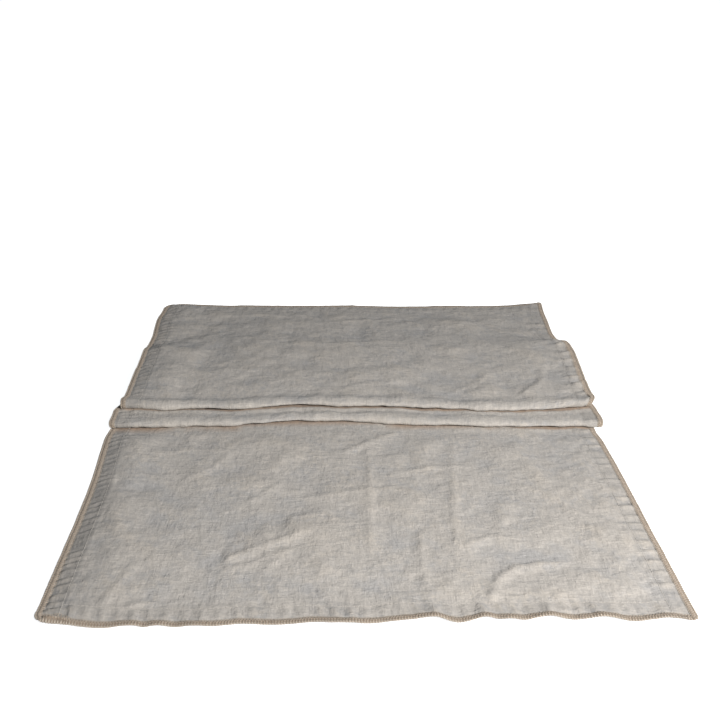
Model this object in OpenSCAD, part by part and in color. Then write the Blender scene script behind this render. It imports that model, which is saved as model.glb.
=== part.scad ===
// Hemmed linen table runner, laid out flat lengthwise and taken up by two pleats across its width.
// +X is the width, +Y the length (away from the front end) and +Z up. The origin is at table
// height under the middle of the laid-out cloth. Lengths are in millimetres.

/* [Cloth] */
// Width of the finished runner
runner_w = 500; // [400:10:550]
// Length of the finished runner before it is pleated
runner_l = 1200; // [1150:10:1300]
// Length that it covers as it lies
laid_l = 624; // [590:1:650]
// Thickness of the linen
cloth_t = 0.6; // [0.4:0.1:0.8]

/* [Pleats] */
// Front edge of the upper pleat, measured from the origin
upper_fold_y = 5.5; // [0:0.5:20]
// How far the lower pleat shows in front of the upper one
pleat_step = 21; // [15:1:45]
// Radius of the cloth round a pleat's front edge
fold_r = 2.6; // [2.4:0.1:4]
// Radius of the cloth round a pleat's hidden back edge
turn_r = 1.1; // [1:0.1:2]
// Length over which the back end climbs from the table on to the pleats
ramp_l = 45; // [35:1:60]

/* [Hems] */
// Depth of the turned hem, from the runner's edge
hem_w = 21; // [21:1:26]
// Distance of the hem's row of stitches from the runner's edge
stitch_inset = 19; // [16:0.5:20]

/* [Overlocked edge] */
// Width of the overlocked border
overlock_w = 5.4; // [4:0.1:8]
// Thickness of the looper threads on the face
looper_t = 0.3; // [0.2:0.05:0.3]

/* [Hidden] */

linen_colour = [0.70, 0.67, 0.63];
hem_colour = [0.66, 0.63, 0.60];
hem_thread_colour = [0.76, 0.72, 0.66];
overlock_colour = [0.68, 0.59, 0.48];
needle_thread_colour = [0.80, 0.75, 0.67];

// Air left between two pieces that lie on each other
gap = 0.05;
// Width and thickness of one row of lockstitch thread
thread_w = 0.5;
thread_t = 0.25;
// Width of the channel in a hem that the bobbin thread lies in
channel_w = 0.8;
// Flat steps round each 180 degree turn of the cloth, and along the ramp
turn_steps = 16;
ramp_steps = 14;

// Heights along the cloth's normal, from the middle of its thickness. The face is positive.
face_n = cloth_t / 2;
back_n = -cloth_t / 2;
hem_top_n = back_n - gap;
hem_bottom_n = hem_top_n - cloth_t;
channel_n = hem_top_n - cloth_t + thread_t + gap;
looper_top_n = face_n + gap + looper_t;
lower_looper_n = hem_bottom_n + gap;
top_thread_n = face_n + gap;
bobbin_thread_n = hem_bottom_n;

// Distances from the middle of the runner to its edge, to the panel's own edge inside the
// threads that wrap it, to the overlocked border's inner side, to the hem's inner edge, to the
// hem's row of stitches, and to the line of needle thread along the border
half_w = runner_w / 2;
half_l = laid_l / 2;
wrap_t = 0.5;
panel_half_w = half_w - wrap_t;
panel_half_l = half_l - wrap_t;
border_half_w = half_w - overlock_w;
border_half_l = half_l - overlock_w;
hem_half_w = half_w - hem_w;
hem_half_l = half_l - hem_w;
stitch_half_w = half_w - stitch_inset;
stitch_half_l = half_l - stitch_inset;
needle_line_w = border_half_w - gap - thread_w;
needle_line_l = border_half_l - gap - thread_w;

// Heights of the five passes of cloth through the pleats, from the table up
front_z = -hem_bottom_n;
lower_back_z = front_z + 2 * turn_r;
strip_z = lower_back_z + 2 * fold_r;
upper_back_z = strip_z + 2 * turn_r;
top_z = upper_back_z + 2 * fold_r;

// The back end's climb is a half wave, from the table to the top of the pleats
function climb_z(t) = front_z + (top_z - front_z) * (1 - cos(180 * t)) / 2;
function climb_slope(t) = (top_z - front_z) * PI / 2 * sin(180 * t) / ramp_l;
climb_points = [for (i = [0 : ramp_steps]) [ramp_l * i / ramp_steps, climb_z(i / ramp_steps)]];
function polyline_length(p, i = 1) = i == len(p) ? 0 : norm(p[i] - p[i - 1]) + polyline_length(p, i + 1);

// Both pleats are equally deep, and take up what the laid length doesn't show
round_turns = (2 * PI - 4) * (fold_r + turn_r);
pleat_depth = (runner_l - laid_l - (polyline_length(climb_points) - ramp_l) - round_turns) / 4;
lower_fold_y = upper_fold_y - pleat_step;
upper_turn_y = upper_fold_y + pleat_depth;
lower_turn_y = lower_fold_y + pleat_depth;
ramp_top_y = upper_turn_y + 4;
ramp_foot_y = ramp_top_y + ramp_l;

// A station is a point [y, z] in the middle of the cloth and the direction of its face there
function direction(angle) = [cos(angle), sin(angle)];
function front_fold(y, z) = [
    for (i = [0 : turn_steps])
        let (a = 90 + 180 * i / turn_steps)
        [[y + fold_r, z - fold_r] + fold_r * direction(a), a]
];
function back_turn(y, z) = [
    for (i = [0 : turn_steps])
        let (a = 270 - 180 * i / turn_steps)
        [[y - turn_r, z - turn_r] - turn_r * direction(a), a]
];
climb = [
    for (i = [0 : ramp_steps])
        let (t = i / ramp_steps)
        [[ramp_foot_y - ramp_l * t, climb_z(t)], 90 - atan(climb_slope(t))]
];
pleats = concat(
    climb,
    front_fold(upper_fold_y, top_z),
    back_turn(upper_turn_y, upper_back_z),
    front_fold(lower_fold_y, strip_z),
    back_turn(lower_turn_y, lower_back_z)
);

// The whole run of the cloth between two points short of its ends, from the back to the front
function cloth_run(half_length) = concat(
    [[[half_length, front_z], 90]],
    pleats,
    [[[-half_length, front_z], 90]]
);

// The outline of a layer that follows the cloth between two heights along its normal
function layer_outline(run, low_n, high_n) = concat(
    [for (s = run) s[0] + high_n * direction(s[1])],
    [for (i = [len(run) - 1 : -1 : 0]) run[i][0] + low_n * direction(run[i][1])]
);

// A layer that runs the length of the runner, through the pleats
module long_layer(x_low, x_high, low_n, high_n, half_length) {
    translate([x_low, 0, 0])
        rotate([90, 0, 90])
            linear_extrude(x_high - x_low)
                polygon(layer_outline(cloth_run(half_length), low_n, high_n));
}

// A flat layer along one end, given for the back end
module end_layer(half_width, y_low, y_high, low_n, high_n) {
    translate([-half_width, y_low, front_z + low_n])
        cube([2 * half_width, y_high - y_low, high_n - low_n]);
}

module on_left() {
    mirror([1, 0, 0])
        children();
}

module at_front() {
    mirror([0, 1, 0])
        children();
}

module linen_panel() {
    color(linen_colour)
        long_layer(-panel_half_w, panel_half_w, back_n, face_n, panel_half_l);
}

// A side hem: the turned cloth under the panel, with a channel for the bobbin thread
module side_hem() {
    length = border_half_l - gap;
    long_layer(hem_half_w, stitch_half_w - channel_w / 2, hem_bottom_n, hem_top_n, length);
    long_layer(stitch_half_w - channel_w / 2, stitch_half_w + channel_w / 2, channel_n, hem_top_n, length);
    long_layer(stitch_half_w + channel_w / 2, border_half_w - gap, hem_bottom_n, hem_top_n, length);
}

// An end hem lies between the side hems
module end_hem() {
    width = hem_half_w - gap;
    end_layer(width, hem_half_l, stitch_half_l - channel_w / 2, hem_bottom_n, hem_top_n);
    end_layer(width, stitch_half_l - channel_w / 2, stitch_half_l + channel_w / 2, channel_n, hem_top_n);
    end_layer(width, stitch_half_l + channel_w / 2, border_half_l - gap, hem_bottom_n, hem_top_n);
}

// One row of lockstitch thread along a side: on the face, or in the hem's channel
module side_thread(low_n) {
    long_layer(stitch_half_w - thread_w / 2, stitch_half_w + thread_w / 2,
        low_n, low_n + thread_t, needle_line_l - gap);
}

module end_thread(half_width, low_n) {
    end_layer(half_width, stitch_half_l - thread_w / 2, stitch_half_l + thread_w / 2,
        low_n, low_n + thread_t);
}

end_top_thread_half_w = stitch_half_w - thread_w / 2 - gap;
end_bobbin_thread_half_w = hem_half_w - gap;

// The upper looper covers the border's face and wraps the panel's cut edge
module side_upper_looper() {
    long_layer(border_half_w, half_w, face_n + gap, looper_top_n, half_l);
    long_layer(panel_half_w + gap, half_w, lower_looper_n, looper_top_n, half_l);
}

module side_lower_looper() {
    long_layer(border_half_w, panel_half_w, lower_looper_n, hem_top_n, half_l);
}

// The overlock's needle thread is a straight line along the border's inner side
module side_needle_thread() {
    long_layer(needle_line_w, needle_line_w + thread_w,
        top_thread_n, top_thread_n + thread_t, border_half_l - gap);
}

module end_upper_looper() {
    width = border_half_w - gap;
    end_layer(width, border_half_l, half_l, face_n + gap, looper_top_n);
    end_layer(width, panel_half_l + gap, half_l, lower_looper_n, looper_top_n);
}

module end_lower_looper() {
    end_layer(border_half_w - gap, border_half_l, panel_half_l, lower_looper_n, hem_top_n);
}

module end_needle_thread() {
    end_layer(needle_line_w - gap, needle_line_l, needle_line_l + thread_w,
        top_thread_n, top_thread_n + thread_t);
}

module left_hem() { color(hem_colour) on_left() side_hem(); }
module right_hem() { color(hem_colour) side_hem(); }
module front_hem() { color(hem_colour) at_front() end_hem(); }
module back_hem() { color(hem_colour) end_hem(); }

module left_hem_top_thread() { color(hem_thread_colour) on_left() side_thread(top_thread_n); }
module left_hem_bobbin_thread() { color(hem_thread_colour) on_left() side_thread(bobbin_thread_n); }
module right_hem_top_thread() { color(hem_thread_colour) side_thread(top_thread_n); }
module right_hem_bobbin_thread() { color(hem_thread_colour) side_thread(bobbin_thread_n); }
module front_hem_top_thread() {
    color(hem_thread_colour) at_front() end_thread(end_top_thread_half_w, top_thread_n);
}
module front_hem_bobbin_thread() {
    color(hem_thread_colour) at_front() end_thread(end_bobbin_thread_half_w, bobbin_thread_n);
}
module back_hem_top_thread() {
    color(hem_thread_colour) end_thread(end_top_thread_half_w, top_thread_n);
}
module back_hem_bobbin_thread() {
    color(hem_thread_colour) end_thread(end_bobbin_thread_half_w, bobbin_thread_n);
}

module left_overlock_upper_looper() { color(overlock_colour) on_left() side_upper_looper(); }
module left_overlock_lower_looper() { color(overlock_colour) on_left() side_lower_looper(); }
module left_overlock_needle_thread() { color(needle_thread_colour) on_left() side_needle_thread(); }
module right_overlock_upper_looper() { color(overlock_colour) side_upper_looper(); }
module right_overlock_lower_looper() { color(overlock_colour) side_lower_looper(); }
module right_overlock_needle_thread() { color(needle_thread_colour) side_needle_thread(); }
module front_overlock_upper_looper() { color(overlock_colour) at_front() end_upper_looper(); }
module front_overlock_lower_looper() { color(overlock_colour) at_front() end_lower_looper(); }
module front_overlock_needle_thread() { color(needle_thread_colour) at_front() end_needle_thread(); }
module back_overlock_upper_looper() { color(overlock_colour) end_upper_looper(); }
module back_overlock_lower_looper() { color(overlock_colour) end_lower_looper(); }
module back_overlock_needle_thread() { color(needle_thread_colour) end_needle_thread(); }

linen_panel();
left_hem();
right_hem();
front_hem();
back_hem();
left_hem_top_thread();
left_hem_bobbin_thread();
right_hem_top_thread();
right_hem_bobbin_thread();
front_hem_top_thread();
front_hem_bobbin_thread();
back_hem_top_thread();
back_hem_bobbin_thread();
left_overlock_upper_looper();
left_overlock_lower_looper();
left_overlock_needle_thread();
right_overlock_upper_looper();
right_overlock_lower_looper();
right_overlock_needle_thread();
front_overlock_upper_looper();
front_overlock_lower_looper();
front_overlock_needle_thread();
back_overlock_upper_looper();
back_overlock_lower_looper();
back_overlock_needle_thread();
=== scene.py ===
"""The looks of a hemmed linen table runner with two pleats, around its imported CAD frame.

The cloth is worked out once, as a grid of points on the middle of its thickness. Its
coordinates are u, across the runner from -250 to 250, and w, along the cloth from its back
end at 0 to its front end at 1200. Every piece is then laid on that grid by u, w and n, its
height on the cloth's face. These lengths are millimetres until a mesh is made.
"""

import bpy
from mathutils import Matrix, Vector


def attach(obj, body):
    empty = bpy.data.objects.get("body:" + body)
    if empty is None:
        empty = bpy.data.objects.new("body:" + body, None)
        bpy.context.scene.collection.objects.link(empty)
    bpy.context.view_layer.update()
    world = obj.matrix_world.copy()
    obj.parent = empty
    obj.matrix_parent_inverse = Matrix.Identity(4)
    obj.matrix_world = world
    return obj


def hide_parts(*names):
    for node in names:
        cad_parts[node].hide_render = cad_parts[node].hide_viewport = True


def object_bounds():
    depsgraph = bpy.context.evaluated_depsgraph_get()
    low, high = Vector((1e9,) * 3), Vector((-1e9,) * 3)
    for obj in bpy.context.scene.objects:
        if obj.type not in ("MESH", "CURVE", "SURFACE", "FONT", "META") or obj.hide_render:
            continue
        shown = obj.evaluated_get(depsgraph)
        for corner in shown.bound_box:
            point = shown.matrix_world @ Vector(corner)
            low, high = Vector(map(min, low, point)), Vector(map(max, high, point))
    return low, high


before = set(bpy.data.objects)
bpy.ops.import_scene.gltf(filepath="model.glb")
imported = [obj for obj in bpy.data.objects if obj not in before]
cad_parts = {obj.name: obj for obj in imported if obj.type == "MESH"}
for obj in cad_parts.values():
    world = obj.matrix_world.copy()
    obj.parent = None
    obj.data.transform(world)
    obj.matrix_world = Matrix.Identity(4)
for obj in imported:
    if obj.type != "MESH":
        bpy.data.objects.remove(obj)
cad_box = [list(corner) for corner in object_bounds()]

import math

import bpy
import numpy as np
from mathutils import Matrix, Vector

MM = 0.001
TAU = 2 * math.pi

# The runner's size, from the frame, and its length before it is pleated
HALF_W = cad_box[1][0] / MM
HALF_L = cad_box[1][1] / MM
CLOTH_L = 1200.0

# The cloth and its edges, as in the CAD model
CLOTH_T = 0.6
FACE = CLOTH_T / 2
GAP = 0.05
HEM_TOP = -FACE - GAP
HEM_BOTTOM = HEM_TOP - CLOTH_T
HEM_W = 21.0
STITCH_IN = 19.0
BORDER_W = 5.4
WRAP_T = 0.5


# --- Small helpers ---

def smooth(t):
    """0 up to t = 0, 1 from t = 1, and level at both ends."""
    t = np.clip(t, 0.0, 1.0)
    return t * t * (3 - 2 * t)


def mix(a, b, t):
    return a + (b - a) * t


def bump(distance, width):
    """A round bump, 1 where distance is 0."""
    return np.exp(-(distance / width) ** 2)


def curve(x, knots):
    """A smooth curve through knots, pairs of (where, value), and level beyond them."""
    at, value = np.array(knots, float).T
    slope = np.gradient(value, at)
    slope[0] = slope[-1] = 0
    x = np.clip(x, at[0], at[-1])
    i = np.clip(np.searchsorted(at, x) - 1, 0, len(at) - 2)
    step = at[i + 1] - at[i]
    t = (x - at[i]) / step
    return (value[i] * (1 + 2 * t) * (1 - t) ** 2 + value[i + 1] * t * t * (3 - 2 * t)
            + step * t * (1 - t) * (slope[i] * (1 - t) - slope[i + 1] * t))


def noise(x, y, seed):
    """Gradient noise from about -0.7 to 0.7, with one wave in about two units."""
    size = 128
    angle = np.random.default_rng(seed).uniform(0, TAU, (size, size))
    x0, y0 = np.floor(x), np.floor(y)
    fx, fy = x - x0, y - y0
    sx, sy = fx ** 3 * (fx * (6 * fx - 15) + 10), fy ** 3 * (fy * (6 * fy - 15) + 10)
    total = 0.0
    for i in (0, 1):
        for j in (0, 1):
            a = angle[(x0 + i).astype(int) % size, (y0 + j).astype(int) % size]
            part = (fx - i) * np.cos(a) + (fy - j) * np.sin(a)
            total = total + part * (sx if i else 1 - sx) * (sy if j else 1 - sy)
    return total


def facets(x, y, seed):
    """Flat triangles between random heights from -1 to 1, with a corner in about every unit."""
    size = 128
    height = np.random.default_rng(seed).uniform(-1, 1, (size, size))
    skew = (x + y) * 0.366
    i, j = np.floor(x + skew), np.floor(y + skew)
    fx, fy = x + skew - i, y + skew - j
    i, j = i.astype(int) % size, j.astype(int) % size
    i1, j1 = (i + 1) % size, (j + 1) % size
    near, far = height[i, j], height[i1, j1]
    side = np.where(fx > fy, height[i1, j], height[i, j1])
    return near + np.maximum(fx, fy) * (side - near) + np.minimum(fx, fy) * (far - side)


def turned(u, w, degrees):
    """The same places in axes turned by an angle."""
    c, s = math.cos(math.radians(degrees)), math.sin(math.radians(degrees))
    return u * c + w * s, w * c - u * s


# --- How the cloth lies: one path per column, from the back end to the front ---

# The pleats' front edges and hidden back edges, as u and y
UPPER_FOLD = ((-250, 12.5), (-214, 9), (-163, 12), (-126, 10), (-70, 16), (13, 14.5), (90, 8.6),
              (152, 2.8), (200, 5.5), (238, 12.5), (250, 15.5))
LOWER_FOLD = ((-250, -20), (-190, -16.8), (-120, -15.4), (-60, -7), (-18, -6.4), (63, -15.4),
              (150, -20), (250, -21.5))
UPPER_TURN = ((-250, 141), (-80, 146), (90, 152), (250, 158))
LOWER_TURN = ((-250, 118), (-60, 122), (90, 127), (250, 130))
# How high the back end's top lies over the pleats' back edge, and over the roll behind the lip
SHELF_Z = ((-250, 11), (-190, 10.4), (0, 10.2), (150, 11.6), (205, 13.2), (250, 13.8))
VALLEY_Z = ((-250, 10.8), (-190, 10.0), (0, 9.8), (120, 10.2), (200, 11.6), (250, 12.4))
# The length of the climb from the table on to the pleats, in the middle and at the sides
RAMP_L = (150, 42)
# The heights of the passes. Pairs are for the middle and for the sides.
FOLD_HEIGHTS = {"table": 0.7, "d": (1.9, 3.15), "c": (4.3, 6.0), "b": (7.2, 8.2)}
# Each lip's depth, its top and the top's waves, and its bottom, its waves and how low it may go
UPPER_LIP = ((8.2, 5.0), (13.8, 15.4), (0.9, 24, 43), 7.7, (1.0, 13, 45), 6.95)
LOWER_LIP = ((7.6, 4.2), (8.2, 9.0), (0.8, 22, 44), 2.2, (0.8, 14, 46), 1.75)
PATH_POINTS = 240
# Over how far the cloth climbs on to its own hem
HEM_EASE = 3.5


def at_side(u):
    """0 in the runner's middle, and 1 at its sides."""
    return smooth((abs(u) - 190) / 45)


def on_hem(u):
    """1 over a side hem, where the cloth lies on its own turned edge."""
    return smooth((abs(u) - (HALF_W - HEM_W - HEM_EASE)) / HEM_EASE)


def on_end_hem(from_end):
    """The same over the front or back hem, by the distance from that end."""
    return smooth((HEM_W + HEM_EASE - from_end) / HEM_EASE)


def level(pair, u):
    """A pair's value at a column, from its first in the middle to its second at the sides."""
    return mix(pair[0], pair[1], at_side(u))


def table_z(u):
    """The height of the middle of the cloth where it lies on the table."""
    return FOLD_HEIGHTS["table"] + (CLOTH_T + GAP) * on_hem(u)


def wavy(u, size, length, seed):
    """A fold's small waves along the runner's width."""
    fine = 0.4 * noise(u * 3.1 / length, 0.0, seed)
    return size * (noise(u / length, 0.5, seed) + fine)


def back_panel_z(u, y, fold_y, turn_y, lip_y, lip_top):
    """The height of the pass that climbs from the table on to the pleats and ends in a lip."""
    ramp_l = mix(RAMP_L[0], RAMP_L[1], smooth((abs(u) - 120) / 115))
    ramp_start = turn_y + 3 + ramp_l
    shelf = mix(curve(u, VALLEY_Z), curve(u, SHELF_Z), smooth((y - 60) / 80))
    # On the left the layers below show as a low step
    step = smooth((108 - y) / 9) * smooth((70 - u) / 60) * smooth((y - 40) / 30)
    shelf = shelf + 0.9 * step
    roll_start = fold_y + 27
    roll = smooth((roll_start - y) / (roll_start - lip_y))
    top = mix(shelf, lip_top, roll ** 1.3)
    even = np.clip((ramp_start - y) / ramp_l, 0, 1)
    climb = mix((1 - np.cos(np.pi * even)) / 2, even, 0.55 * (1 - at_side(u)))
    return mix(table_z(u), top, climb ** 0.9)


def lip(centre_y, top, bottom, depth):
    """Half an ellipse round a pleat's front edge, from its top to its bottom."""
    a = np.linspace(np.pi / 2, 3 * np.pi / 2, PATH_POINTS)[None, :]
    middle = mix(bottom, top, 0.46)
    rise = np.where(np.sin(a) > 0, top - middle, middle - bottom)
    return centre_y + depth * np.cos(a), middle + rise * np.sin(a)


def back_turn(y, upper_z, lower_z):
    """Half a circle round a pleat's back edge."""
    a = np.linspace(np.pi / 2, -np.pi / 2, PATH_POINTS)[None, :]
    radius = (upper_z - lower_z) / 2
    return y + radius * np.cos(a), (upper_z + lower_z) / 2 + radius * np.sin(a)


def fold_edges(u):
    """Where the two pleats' front edges lie."""
    return (curve(u, UPPER_FOLD) + wavy(u, 1.6, 15, 41),
            curve(u, LOWER_FOLD) + wavy(u, 1.6, 16, 42))


def lip_shape(u, fold, depth, top, top_waves, bottom, bottom_waves, lowest):
    """A lip at each column: where it starts, its top, its bottom and its depth."""
    depth = level(depth, u)
    bottom = np.maximum(bottom + wavy(u, *bottom_waves), lowest)
    return fold + depth, level(top, u) + wavy(u, *top_waves), bottom, depth


def stretches(u):
    """The nine stretches of the cloth's path at each column: their y and z."""
    u = u[:, None]
    along = np.linspace(0, 1, PATH_POINTS)[None, :]
    fold_1, fold_2 = fold_edges(u)
    turn_1, turn_2 = curve(u, UPPER_TURN), curve(u, LOWER_TURN)
    lip_1, top_1, bottom_1, depth_1 = lip_shape(u, fold_1, *UPPER_LIP)
    lip_2, top_2, bottom_2, depth_2 = lip_shape(u, fold_2, *LOWER_LIP)
    bottom_2 = bottom_2 + 0.7 * on_hem(u)
    b, c, d = (level(FOLD_HEIGHTS[k], u) for k in "bcd")

    back_y = mix(HALF_L, lip_1, along)
    back = back_y, back_panel_z(u, back_y, fold_1, turn_1, lip_1, top_1)
    b_y = mix(lip_1, turn_1, along)
    under_1 = b_y, mix(bottom_1, b, smooth((b_y - lip_1) / 40))
    c_y = mix(turn_1, lip_2, along)
    strip_z = mix(c, np.maximum(c, 6.2), smooth((40 - c_y) / 30))
    strip = c_y, mix(strip_z, top_2, smooth((9 - c_y) / (9 - lip_2)))
    d_y = mix(lip_2, turn_2, along)
    under_2 = d_y, mix(bottom_2, d, smooth((d_y - lip_2) / 30))
    e_y = mix(turn_2, -HALF_L, along)
    front = e_y, table_z(u) + 0 * e_y
    return [back, lip(lip_1, top_1, bottom_1, depth_1), under_1, back_turn(turn_1, b, c), strip,
            lip(lip_2, top_2, bottom_2, depth_2), under_2, back_turn(turn_2, d, table_z(u)), front]


def lengths(part):
    """The length of each column's path up to each of its points."""
    y, z = part
    steps = np.hypot(np.diff(y, axis=1), np.diff(z, axis=1))
    return np.hstack([np.zeros((len(steps), 1)), np.cumsum(steps, axis=1)])


# --- The grid's columns and rows ---

# Distances from an edge at which the hem's surface is worked out
EDGE_STEPS = (0, 1.0, 2.4, 3.8, 4.9, 5.7, 6.4, 7.6, 9.2, 11, 12.8, 14.6, 16.4, 17.8, 19, 20.2,
              21.4, 23.2, 25.4, 28)
EDGE_ZONE = EDGE_STEPS[-1]
INNER_STEP = 2.9
# How much of the strip between the lips shows, and where the front part comes into the open
VISIBLE_STRIP = 34.0
FRONT_START = CLOTH_L - EDGE_ZONE - 262.0
# How far apart the rows lie in each zone: on the back part, round the upper lip, under it, round
# the turn behind it, on the strip's hidden part and its open part, round the lower lip, under it,
# round the turn behind it, and on the front part's hidden part and its open part
ZONE_STEPS = (1.512, 1.45, 11, 0.75, 11, 1.5, 1.45, 11, 0.6, 11, 1.35)
# In these zones the middle of the cloth keeps every other row
FINE_STEPS = (ZONE_STEPS[0], ZONE_STEPS[-1])


def even_steps(start, end, step):
    """Rows from start up to end, and which of them the middle of the cloth keeps."""
    count = max(2, round((end - start) / step))
    count += count % 2
    rows = np.linspace(start, end, count + 1)[:-1]
    keep = (np.arange(count) % 2 == 0) | (step not in FINE_STEPS)
    return rows, keep


def grid_lines(ends):
    """The columns u and rows w of the grid, and which rows the middle of the cloth keeps."""
    inner = HALF_W - EDGE_ZONE
    edge = np.array(EDGE_STEPS)
    middle = np.linspace(-inner, inner, 2 * round(inner / INNER_STEP) + 1)
    columns = np.hstack([edge[:-1] - HALF_W, middle, HALF_W - edge[:-1][::-1]])
    parts = [(edge[:-1], np.ones(len(edge) - 1, bool))]
    stops = [EDGE_ZONE, *ends[1:5], ends[5] - VISIBLE_STRIP, *ends[5:9], FRONT_START,
             CLOTH_L - EDGE_ZONE]
    parts += [even_steps(*zone) for zone in zip(stops, stops[1:], ZONE_STEPS)]
    parts.append((CLOTH_L - edge[::-1], np.ones(len(edge), bool)))
    rows = np.hstack([p[0] for p in parts])
    keep = np.hstack([p[1] for p in parts])
    return columns, rows, keep


# --- The cloth's outline ---

# How far each side edge lies out of line, as w and x
RIGHT_EDGE = ((0, -1.2), (20, -1.8), (51, -2.2), (83, -3.4), (98, -3.6), (113, -1.8), (163, 4.5),
              (207, 3.8), (254, 1.2), (278, 0.6), (292, 0.4), (300, -1.5), (310, -6), (330, -7),
              (370, -4), (420, -2), (457, 0), (500, -2), (560, -3), (580, 0), (597, 0.6),
              (617, -1.2), (640, -3), (760, -6), (905, -9.2), (922, -8.8), (932, -7.2),
              (951, -6.1), (1006, -4.2), (1071, -3.3), (1128, -1.8), (1179, -0.5), (1200, -0.2))
LEFT_EDGE = ((0, 6), (17, 6.2), (49, 3.5), (81, 4.7), (98, 5.8), (111, 5.8), (125, 4.6), (173, 6),
             (202, 5.8), (225, 5.4), (250, 5.6), (273, 5), (295, 4.8), (306, 5.2), (330, 8),
             (370, 10), (420, 11), (457, 9), (500, 11), (555, 7), (578, -1.5), (600, -1.2),
             (617, -0.4), (630, 2), (650, 9), (700, 12), (765, 12), (820, 12), (860, 10),
             (885, 5), (900, 0), (907, -1), (946, -1), (965, 0), (1034, 1.8), (1094, 1),
             (1147, 0.1), (1200, -0.5))
# How far forward the front edge bows, and how high it lifts off the table, as u and length
FRONT_BOW = ((-250, 0.5), (-232, 1.4), (-206, 5), (-180, 4.8), (-150, 4.8), (-118, 5.4),
             (-98, 1.6), (-71, 3), (-41, 2), (-20, 4.8), (-8, 5), (8, 2.2), (50, 1), (64, 3),
             (84, 1.2), (120, 2.4), (140, 2), (165, 1.2), (190, 3), (215, 3), (235, 3),
             (250, 4.6))
FRONT_LIFT = ((-250, 0.4), (-225, 0), (-190, 0.2), (-173, 2.2), (-166, 0.5), (-159, 2.0),
              (-145, 0.2), (-130, 2.4), (-110, 0.2), (-71, 0), (-42, 1.0), (-12, 3.0), (4, 0.3),
              (20, 0.5), (34, 1.4), (50, 4.8), (68, 0.1), (76, 1.0), (89, 4.2), (99, 1.6),
              (107, 2.6), (117, 1.2), (135, 5.2), (156, 0.1), (166, 1.2), (177, 3.8), (203, 0),
              (216, 1.2), (228, 2.8), (243, 0.2), (250, 0.3))
# How far forward the back edge lies
BACK_BOW = ((-250, 0), (-150, 3), (0, 4), (60, 6), (170, 5), (215, 3), (250, 3.5))
# Each corner's side, whether it is at the front, and its radius
CORNERS = ((-1, 0, 13), (1, 0, 4), (-1, 1, 11), (1, 1, 5))
# The corners that stand up, in the same terms: how high, and how far away and wide the bump is
RAISED_CORNERS = ((1, 0, 4.2, 0, 26), (1, 1, 0.6, 0, 12), (-1, 1, 2.2, 4, 9))


def shift_outline(u, w, x, y, z):
    """Moves the flat cloth's edges to where they lie, and rounds its corners."""
    right = smooth((u / HALF_W - 0.2) / 0.8) * curve(w, RIGHT_EDGE)
    left = smooth((-u / HALF_W - 0.2) / 0.8) * curve(w, LEFT_EDGE)
    x = x + right + left
    from_front = CLOTH_L - w
    y = y - (curve(u, FRONT_BOW) * np.exp(-from_front / 45) + curve(u, BACK_BOW) * np.exp(-w / 60))
    z = z + curve(u, FRONT_LIFT) * np.exp(-(from_front / 15) ** 1.5)
    for side, at_front, radius in CORNERS:
        a = np.clip(1 - (HALF_W - side * u) / radius, 0, 1)
        b = np.clip(1 - (from_front if at_front else w) / radius, 0, 1)
        scale = np.maximum(a, b) / np.maximum(np.hypot(a, b), 1e-9) - 1
        x += side * a * scale * radius
        y += (-1 if at_front else 1) * b * scale * radius
    return x, y, z


# --- Creases, crinkles and puckers ---

# The creases that stand out on the front part and on the back part: each one's height, its width
# and the places (x, y) it runs through
FRONT_CREASES = (
    (0.7, 4.5, (-203, -296), (-194, -266), (-184, -234)),
    (1.05, 8, (-117, -238), (-103, -228), (-79, -216), (-41, -193)),
    (0.6, 3, (-117, -250), (-94, -240), (-55, -219)),
    (-0.75, 5, (-122, -233), (-119, -215), (-113, -194)),
    (0.5, 3.5, (-85, -255), (-61, -223)),
    (0.9, 3, (-186, -294), (-172, -288), (-156, -285)),
    (0.9, 6, (-19, -70), (11, -47), (42, -25)),
    (0.7, 5.5, (9, -51), (7, -148), (5, -237)),
    (0.8, 6.5, (93, -42), (83, -149), (76, -238)),
    (0.7, 4.5, (48, -195), (45, -276)),
    (0.9, 6, (81, -225), (93, -214), (108, -206), (122, -209)),
    (1.45, 8, (94, -304), (97, -287), (103, -268), (114, -255), (128, -247), (146, -244),
     (192, -240)),
    (0.6, 5, (114, -180), (146, -176)),
    (0.5, 4.5, (-60, -150), (-20, -140), (40, -128)),
    (0.6, 5, (-140, -180), (-100, -150), (-70, -120)),
    (0.6, 5, (-170, -120), (-140, -95), (-120, -60)),
    (0.6, 4.5, (140, -120), (175, -150), (200, -185)),
    (0.5, 4.5, (20, -110), (60, -98), (110, -92)),
    (0.5, 5, (-200, -70), (-165, -60), (-120, -64)),
)
BACK_CREASES = (
    (0.5, 4, (-150, 70), (-128, 84), (-118, 100)),
    (0.8, 4.5, (60, 255), (78, 240), (84, 222)),
    (0.5, 6, (-60, 240), (0, 248), (70, 262)),
    (0.5, 6, (-180, 270), (-120, 275), (-60, 262)),
    (0.5, 4.5, (100, 45), (130, 62), (150, 92)),
    (0.9, 7, (172, 30), (198, 60), (206, 100)),
    (0.4, 5, (-20, 50), (20, 66), (70, 74)),
    (0.5, 7, (-110, 176), (-30, 168), (60, 180)),
)


def to_line(x, y, start, end):
    """The distance from a straight line between two points, and how far along it."""
    (x0, y0), (x1, y1) = start, end
    along = ((x - x0) * (x1 - x0) + (y - y0) * (y1 - y0)) / ((x1 - x0) ** 2 + (y1 - y0) ** 2)
    t = np.clip(along, 0, 1)
    return np.hypot(x - mix(x0, x1, t), y - mix(y0, y1, t)), along


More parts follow.
